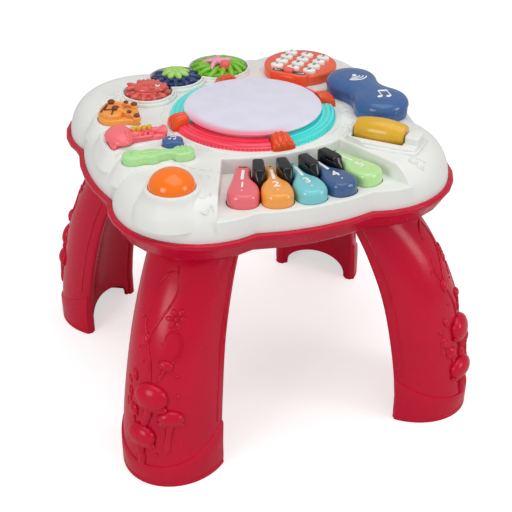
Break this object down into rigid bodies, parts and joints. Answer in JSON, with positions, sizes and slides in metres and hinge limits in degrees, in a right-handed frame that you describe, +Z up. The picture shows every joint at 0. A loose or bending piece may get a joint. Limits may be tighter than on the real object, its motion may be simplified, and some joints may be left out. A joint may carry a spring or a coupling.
{
  "type": "musical activity table",
  "caption": "Child's musical activity table: lobed tray on four curved legs, with drum pad, small keyboard, gears, keypad, handset, roller and picture buttons.",
  "frame": {"origin": "on the ground under the middle of the table", "axes": "+Z up, the keyboard faces -Y, the handset lies at +X"},
  "size_m": [0.3364, 0.3364, 0.2805],
  "materials": {
    "black": "gloss",
    "board_green": "matt",
    "cell_grey": "satin",
    "clip_orange": "gloss",
    "cream": "satin",
    "crimson": "gloss",
    "dome_orange": "gloss",
    "drum_orange": "gloss",
    "gear_blue": "gloss",
    "gear_coral": "gloss",
    "gear_green": "gloss",
    "guitar_green": "gloss",
    "handset_blue": "gloss",
    "key_1": "gloss",
    "key_2": "gloss",
    "key_3": "gloss",
    "key_4": "gloss",
    "key_5": "gloss",
    "keypad_orange": "gloss",
    "knob_pink": "gloss",
    "lavender": "satin",
    "metal": "polished",
    "number_white": "gloss",
    "petal_green": "gloss",
    "petal_pink": "gloss",
    "ring_red": "gloss translucent",
    "ring_teal": "gloss translucent",
    "roller_yellow": "gloss",
    "trumpet_pink": "gloss"
  },
  "bodies": {
    "housing": {"battery_1": "cell_grey", "battery_2": "cell_grey", "battery_3": "cell_grey", "battery_door": "crimson", "battery_door_screw": "metal", "black_keys": "black", "circuit_board": "board_green", "housing_screw_back": "metal", "housing_screw_left": "metal", "housing_screw_right": "metal", "keypad_plate": "keypad_orange", "leg_back_left": "crimson", "leg_back_right": "crimson", "leg_front_left": "crimson", "leg_front_right": "crimson", "light_ring_back_left": "ring_teal", "light_ring_back_right": "ring_red", "light_ring_front_left": "ring_red", "light_ring_front_right": "ring_teal", "lower_tray": "crimson", "ring_clip_back": "clip_orange", "ring_clip_front": "clip_orange", "ring_clip_left": "clip_orange", "ring_clip_right": "clip_orange", "roller_axle": "metal", "speaker": "black", "top_cover": "cream"},
    "key_1": {"key_1": "key_1"},
    "key_2": {"key_2": "key_2"},
    "key_3": {"key_3": "key_3"},
    "key_4": {"key_4": "key_4"},
    "key_5": {"key_5": "key_5"},
    "drum_pad": {"drum_pad": "lavender"},
    "trumpet_button": {"trumpet_button": "trumpet_pink"},
    "toy_drum_button": {"toy_drum_button": "drum_orange"},
    "guitar_button": {"guitar_button": "guitar_green"},
    "note_button": {"note_button": "handset_blue"},
    "dome_button": {"dome_button": "dome_orange"},
    "number_button_1": {"number_button_1": "number_white"},
    "number_button_2": {"number_button_2": "number_white"},
    "number_button_3": {"number_button_3": "number_white"},
    "number_button_4": {"number_button_4": "number_white"},
    "number_button_5": {"number_button_5": "number_white"},
    "number_button_6": {"number_button_6": "number_white"},
    "number_button_7": {"number_button_7": "number_white"},
    "number_button_8": {"number_button_8": "number_white"},
    "number_button_9": {"number_button_9": "number_white"},
    "number_button_star": {"number_button_star": "number_white"},
    "number_button_0": {"number_button_0": "number_white"},
    "number_button_hash": {"number_button_hash": "number_white"},
    "switch_knob": {"switch_knob": "knob_pink"},
    "gear_blue": {"gear_blue": "gear_blue", "flower_cap": "petal_green"},
    "gear_green": {"gear_green": "gear_green", "star_cap": "petal_pink"},
    "gear_coral": {"gear_coral": "gear_coral", "animal_cap": "gear_coral"},
    "roller": {"roller": "roller_yellow"},
    "handset": {"handset_base": "handset_blue", "handset_cover": "handset_blue"}
  },
  "joints": [
    {"name": "key_1_press", "type": "hinge", "parent": "housing", "child": "key_1", "pos_m": [-0.03866, -0.08765, 0.241], "axis": [0.915, -0.4035, 0], "range_deg": [0, 3.2], "stiffness_Nm_per_rad": 0.2, "springref_deg": -5.73},
    {"name": "key_2_press", "type": "hinge", "parent": "housing", "child": "key_2", "pos_m": [-0.01975, -0.09374, 0.241], "axis": [0.9785, -0.2062, 0], "range_deg": [0, 3.2], "stiffness_Nm_per_rad": 0.2, "springref_deg": -5.73},
    {"name": "key_3_press", "type": "hinge", "parent": "housing", "child": "key_3", "pos_m": [0, -0.0958, 0.241], "axis": [1, 0, 0], "range_deg": [0, 3.2], "stiffness_Nm_per_rad": 0.2, "springref_deg": -5.73},
    {"name": "key_4_press", "type": "hinge", "parent": "housing", "child": "key_4", "pos_m": [0.01975, -0.09374, 0.241], "axis": [0.9785, 0.2062, 0], "range_deg": [0, 3.2], "stiffness_Nm_per_rad": 0.2, "springref_deg": -5.73},
    {"name": "key_5_press", "type": "hinge", "parent": "housing", "child": "key_5", "pos_m": [0.03866, -0.08765, 0.241], "axis": [0.915, 0.4035, 0], "range_deg": [0, 3.2], "stiffness_Nm_per_rad": 0.2, "springref_deg": -5.73},
    {"name": "drum_pad_press", "type": "slide", "parent": "housing", "child": "drum_pad", "axis": [0, 0, -1], "range_m": [0, 0.002], "stiffness_N_per_m": 600, "springref_m": -0.002},
    {"name": "trumpet_button_press", "type": "slide", "parent": "housing", "child": "trumpet_button", "axis": [0, 0, -1], "range_m": [0, 0.0024], "stiffness_N_per_m": 200, "springref_m": -0.002},
    {"name": "toy_drum_button_press", "type": "slide", "parent": "housing", "child": "toy_drum_button", "axis": [0, 0, -1], "range_m": [0, 0.0024], "stiffness_N_per_m": 200, "springref_m": -0.002},
    {"name": "guitar_button_press", "type": "slide", "parent": "housing", "child": "guitar_button", "axis": [0, 0, -1], "range_m": [0, 0.0024], "stiffness_N_per_m": 200, "springref_m": -0.002},
    {"name": "note_button_press", "type": "slide", "parent": "housing", "child": "note_button", "axis": [0, 0, -1], "range_m": [0, 0.0024], "stiffness_N_per_m": 200, "springref_m": -0.002},
    {"name": "dome_button_press", "type": "slide", "parent": "housing", "child": "dome_button", "axis": [0, 0, -1], "range_m": [0, 0.0025], "stiffness_N_per_m": 200, "springref_m": -0.002},
    {"name": "number_button_1_press", "type": "slide", "parent": "housing", "child": "number_button_1", "axis": [0, 0, -1], "range_m": [0, 0.0015], "stiffness_N_per_m": 150, "springref_m": -0.002},
    {"name": "number_button_2_press", "type": "slide", "parent": "housing", "child": "number_button_2", "axis": [0, 0, -1], "range_m": [0, 0.0015], "stiffness_N_per_m": 150, "springref_m": -0.002},
    {"name": "number_button_3_press", "type": "slide", "parent": "housing", "child": "number_button_3", "axis": [0, 0, -1], "range_m": [0, 0.0015], "stiffness_N_per_m": 150, "springref_m": -0.002},
    {"name": "number_button_4_press", "type": "slide", "parent": "housing", "child": "number_button_4", "axis": [0, 0, -1], "range_m": [0, 0.0015], "stiffness_N_per_m": 150, "springref_m": -0.002},
    {"name": "number_button_5_press", "type": "slide", "parent": "housing", "child": "number_button_5", "axis": [0, 0, -1], "range_m": [0, 0.0015], "stiffness_N_per_m": 150, "springref_m": -0.002},
    {"name": "number_button_6_press", "type": "slide", "parent": "housing", "child": "number_button_6", "axis": [0, 0, -1], "range_m": [0, 0.0015], "stiffness_N_per_m": 150, "springref_m": -0.002},
    {"name": "number_button_7_press", "type": "slide", "parent": "housing", "child": "number_button_7", "axis": [0, 0, -1], "range_m": [0, 0.0015], "stiffness_N_per_m": 150, "springref_m": -0.002},
    {"name": "number_button_8_press", "type": "slide", "parent": "housing", "child": "number_button_8", "axis": [0, 0, -1], "range_m": [0, 0.0015], "stiffness_N_per_m": 150, "springref_m": -0.002},
    {"name": "number_button_9_press", "type": "slide", "parent": "housing", "child": "number_button_9", "axis": [0, 0, -1], "range_m": [0, 0.0015], "stiffness_N_per_m": 150, "springref_m": -0.002},
    {"name": "number_button_star_press", "type": "slide", "parent": "housing", "child": "number_button_star", "axis": [0, 0, -1], "range_m": [0, 0.0015], "stiffness_N_per_m": 150, "springref_m": -0.002},
    {"name": "number_button_0_press", "type": "slide", "parent": "housing", "child": "number_button_0", "axis": [0, 0, -1], "range_m": [0, 0.0015], "stiffness_N_per_m": 150, "springref_m": -0.002},
    {"name": "number_button_hash_press", "type": "slide", "parent": "housing", "child": "number_button_hash", "axis": [0, 0, -1], "range_m": [0, 0.0015], "stiffness_N_per_m": 150, "springref_m": -0.002},
    {"name": "switch_slide", "type": "slide", "parent": "housing", "child": "switch_knob", "axis": [0.7071, -0.7071, 0], "range_m": [-0.005, 0.005]},
    {"name": "gear_blue_spin", "type": "hinge", "parent": "housing", "child": "gear_blue", "pos_m": [-0.0421, 0.0985, 0.2612], "axis": [0, 0, 1], "continuous": true},
    {"name": "gear_green_spin", "type": "hinge", "parent": "housing", "child": "gear_green", "pos_m": [0.0049, 0.10871, 0.2612], "axis": [0, 0, 1], "continuous": true},
    {"name": "gear_coral_spin", "type": "hinge", "parent": "housing", "child": "gear_coral", "pos_m": [-0.07689, 0.074, 0.2612], "axis": [0, 0, 1], "continuous": true},
    {"name": "roller_spin", "type": "hinge", "parent": "housing", "child": "roller", "pos_m": [0.08648, -0.08648, 0.2685], "axis": [0.7071, -0.7071, 0], "continuous": true},
    {"name": "handset_lift", "type": "slide", "parent": "housing", "child": "handset", "axis": [0, 0, 1], "range_m": [0, 0.06]}
  ],
  "couplings": [
    {"joint": "gear_coral_spin", "follows": "gear_blue_spin", "ratio": -1.0909},
    {"joint": "gear_green_spin", "follows": "gear_blue_spin", "ratio": -0.85714}
  ]
}
